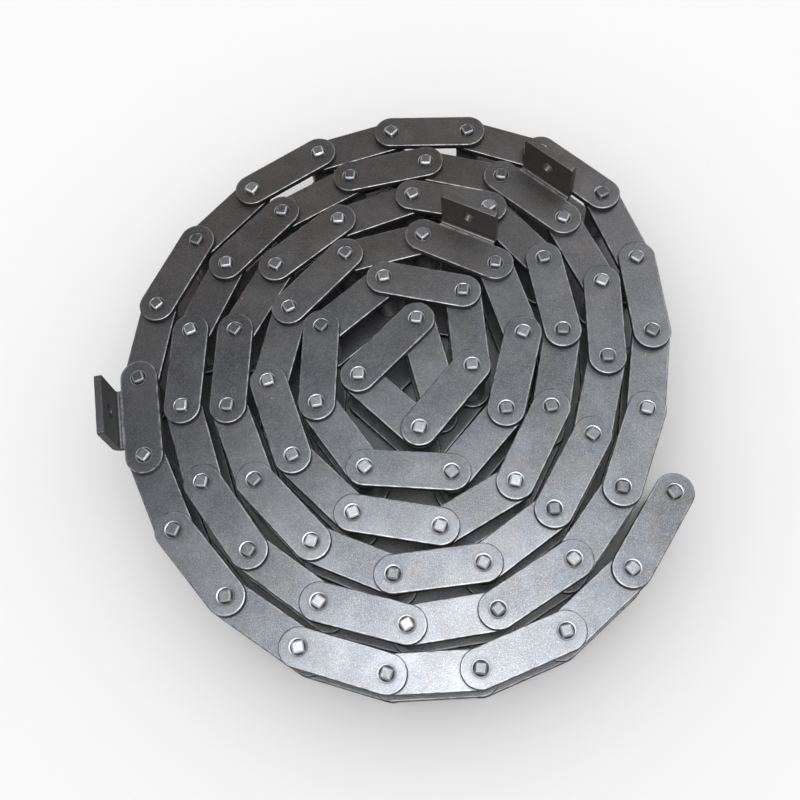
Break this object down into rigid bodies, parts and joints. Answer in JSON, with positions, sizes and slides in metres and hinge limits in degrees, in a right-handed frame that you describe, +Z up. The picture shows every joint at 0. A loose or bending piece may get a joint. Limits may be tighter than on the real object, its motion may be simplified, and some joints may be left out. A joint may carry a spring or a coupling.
{
  "type": "conveyor chain",
  "caption": "Long-pitch conveyor roller chain lying coiled flat, with straight side plates, square-peened pins and bent-up drilled attachment tabs.",
  "frame": {"origin": "centre of the footprint of the coiled chain, on the floor under the lower pin ends", "axes": "+Z up along the pins, +Y along the coil's longer extent, away from the viewer of the picture, +X to the right"},
  "size_m": [0.2594, 0.2818, 0.0604],
  "materials": {
    "plate_steel": "plain rolled steel, satin dark grey with fine mottling",
    "pin_steel": "hardened steel, brighter on the peened ends",
    "bush_steel": "plain steel tube",
    "roller_steel": "turned steel, lightly oiled"
  },
  "bodies": {
    "coil": {"coil_outer_plates_upper": "plate_steel", "coil_outer_plates_lower": "plate_steel", "coil_inner_plates_upper": "plate_steel", "coil_inner_plates_lower": "plate_steel", "coil_attachment_plates": "plate_steel", "coil_pins": "pin_steel", "coil_bushes": "bush_steel", "coil_rollers": "roller_steel"},
    "outer_link_1": {"outer_link_1_upper_plate": "plate_steel", "outer_link_1_lower_plate": "plate_steel", "outer_link_1_pins": "pin_steel"},
    "inner_link_1": {"inner_link_1_upper_plate": "plate_steel", "inner_link_1_lower_plate": "plate_steel", "inner_link_1_bushes": "bush_steel"},
    "inner_link_1_outward_roller": {"inner_link_1_outward_roller": "roller_steel"},
    "inner_link_1_inward_roller": {"inner_link_1_inward_roller": "roller_steel"},
    "outer_link_2": {"outer_link_2_upper_plate": "plate_steel", "outer_link_2_lower_plate": "plate_steel", "outer_link_2_pins": "pin_steel"},
    "inner_link_2": {"inner_link_2_upper_plate": "plate_steel", "inner_link_2_lower_plate": "plate_steel", "inner_link_2_bushes": "bush_steel"},
    "inner_link_2_outward_roller": {"inner_link_2_outward_roller": "roller_steel"},
    "inner_link_2_inward_roller": {"inner_link_2_inward_roller": "roller_steel"},
    "outer_link_3": {"outer_link_3_upper_plate": "plate_steel", "outer_link_3_lower_plate": "plate_steel", "outer_link_3_pins": "pin_steel"},
    "inner_link_3": {"inner_link_3_upper_plate": "plate_steel", "inner_link_3_lower_plate": "plate_steel", "inner_link_3_bushes": "bush_steel"},
    "inner_link_3_outward_roller": {"inner_link_3_outward_roller": "roller_steel"},
    "inner_link_3_inward_roller": {"inner_link_3_inward_roller": "roller_steel"},
    "outer_link_4": {"outer_link_4_upper_plate": "plate_steel", "outer_link_4_lower_plate": "plate_steel", "outer_link_4_pins": "pin_steel"},
    "inner_link_4": {"inner_link_4_upper_plate": "plate_steel", "inner_link_4_lower_plate": "plate_steel", "inner_link_4_bushes": "bush_steel"},
    "inner_link_4_outward_roller": {"inner_link_4_outward_roller": "roller_steel"},
    "inner_link_4_inward_roller": {"inner_link_4_inward_roller": "roller_steel"},
    "outer_link_5": {"outer_link_5_attachment_plate": "plate_steel", "outer_link_5_lower_plate": "plate_steel", "outer_link_5_pins": "pin_steel"},
    "inner_link_5": {"inner_link_5_upper_plate": "plate_steel", "inner_link_5_lower_plate": "plate_steel", "inner_link_5_bushes": "bush_steel"},
    "inner_link_5_outward_roller": {"inner_link_5_outward_roller": "roller_steel"},
    "inner_link_5_inward_roller": {"inner_link_5_inward_roller": "roller_steel"}
  },
  "joints": [
    {"name": "inner_link_5_hinge", "type": "hinge", "parent": "coil", "child": "inner_link_5", "pos_m": [-0.10522, 0.05657, 0.0208], "axis": [0, 0, -1], "range_deg": [0, 45]},
    {"name": "outer_link_5_hinge", "type": "hinge", "parent": "inner_link_5", "child": "outer_link_5", "pos_m": [-0.11596, 0.02002, 0.0208], "axis": [0, 0, -1], "range_deg": [0, 45]},
    {"name": "inner_link_5_outward_roller_spin", "type": "hinge", "parent": "inner_link_5", "child": "inner_link_5_outward_roller", "pos_m": [-0.11596, 0.02002, 0.0208], "axis": [0, 0, -1], "continuous": true},
    {"name": "inner_link_5_inward_roller_spin", "type": "hinge", "parent": "inner_link_5", "child": "inner_link_5_inward_roller", "pos_m": [-0.10522, 0.05657, 0.0208], "axis": [0, 0, -1], "continuous": true},
    {"name": "inner_link_4_hinge", "type": "hinge", "parent": "outer_link_5", "child": "inner_link_4", "pos_m": [-0.11531, -0.01808, 0.0208], "axis": [0, 0, -1], "range_deg": [0, 45]},
    {"name": "outer_link_4_hinge", "type": "hinge", "parent": "inner_link_4", "child": "outer_link_4", "pos_m": [-0.1042, -0.05452, 0.0208], "axis": [0, 0, -1], "range_deg": [0, 45]},
    {"name": "inner_link_4_outward_roller_spin", "type": "hinge", "parent": "inner_link_4", "child": "inner_link_4_outward_roller", "pos_m": [-0.1042, -0.05452, 0.0208], "axis": [0, 0, -1], "continuous": true},
    {"name": "inner_link_4_inward_roller_spin", "type": "hinge", "parent": "inner_link_4", "child": "inner_link_4_inward_roller", "pos_m": [-0.11531, -0.01808, 0.0208], "axis": [0, 0, -1], "continuous": true},
    {"name": "inner_link_3_hinge", "type": "hinge", "parent": "outer_link_4", "child": "inner_link_3", "pos_m": [-0.08402, -0.08683, 0.0208], "axis": [0, 0, -1], "range_deg": [0, 45]},
    {"name": "outer_link_3_hinge", "type": "hinge", "parent": "inner_link_3", "child": "outer_link_3", "pos_m": [-0.05585, -0.11249, 0.0208], "axis": [0, 0, -1], "range_deg": [0, 45]},
    {"name": "inner_link_3_outward_roller_spin", "type": "hinge", "parent": "inner_link_3", "child": "inner_link_3_outward_roller", "pos_m": [-0.05585, -0.11249, 0.0208], "axis": [0, 0, -1], "continuous": true},
    {"name": "inner_link_3_inward_roller_spin", "type": "hinge", "parent": "inner_link_3", "child": "inner_link_3_inward_roller", "pos_m": [-0.08402, -0.08683, 0.0208], "axis": [0, 0, -1], "continuous": true},
    {"name": "inner_link_2_hinge", "type": "hinge", "parent": "outer_link_3", "child": "inner_link_2", "pos_m": [-0.0213, -0.12855, 0.0208], "axis": [0, 0, -1], "range_deg": [0, 45]},
    {"name": "outer_link_2_hinge", "type": "hinge", "parent": "inner_link_2", "child": "outer_link_2", "pos_m": [0.01661, -0.13237, 0.0208], "axis": [0, 0, -1], "range_deg": [0, 45]},
    {"name": "inner_link_2_outward_roller_spin", "type": "hinge", "parent": "inner_link_2", "child": "inner_link_2_outward_roller", "pos_m": [0.01661, -0.13237, 0.0208], "axis": [0, 0, -1], "continuous": true},
    {"name": "inner_link_2_inward_roller_spin", "type": "hinge", "parent": "inner_link_2", "child": "inner_link_2_inward_roller", "pos_m": [-0.0213, -0.12855, 0.0208], "axis": [0, 0, -1], "continuous": true},
    {"name": "inner_link_1_hinge", "type": "hinge", "parent": "outer_link_2", "child": "inner_link_1", "pos_m": [0.05356, -0.12309, 0.0208], "axis": [0, 0, -1], "range_deg": [0, 45]},
    {"name": "outer_link_1_hinge", "type": "hinge", "parent": "inner_link_1", "child": "outer_link_1", "pos_m": [0.08551, -0.10234, 0.0208], "axis": [0, 0, -1], "range_deg": [0, 45]},
    {"name": "inner_link_1_outward_roller_spin", "type": "hinge", "parent": "inner_link_1", "child": "inner_link_1_outward_roller", "pos_m": [0.08551, -0.10234, 0.0208], "axis": [0, 0, -1], "continuous": true},
    {"name": "inner_link_1_inward_roller_spin", "type": "hinge", "parent": "inner_link_1", "child": "inner_link_1_inward_roller", "pos_m": [0.05356, -0.12309, 0.0208], "axis": [0, 0, -1], "continuous": true}
  ]
}
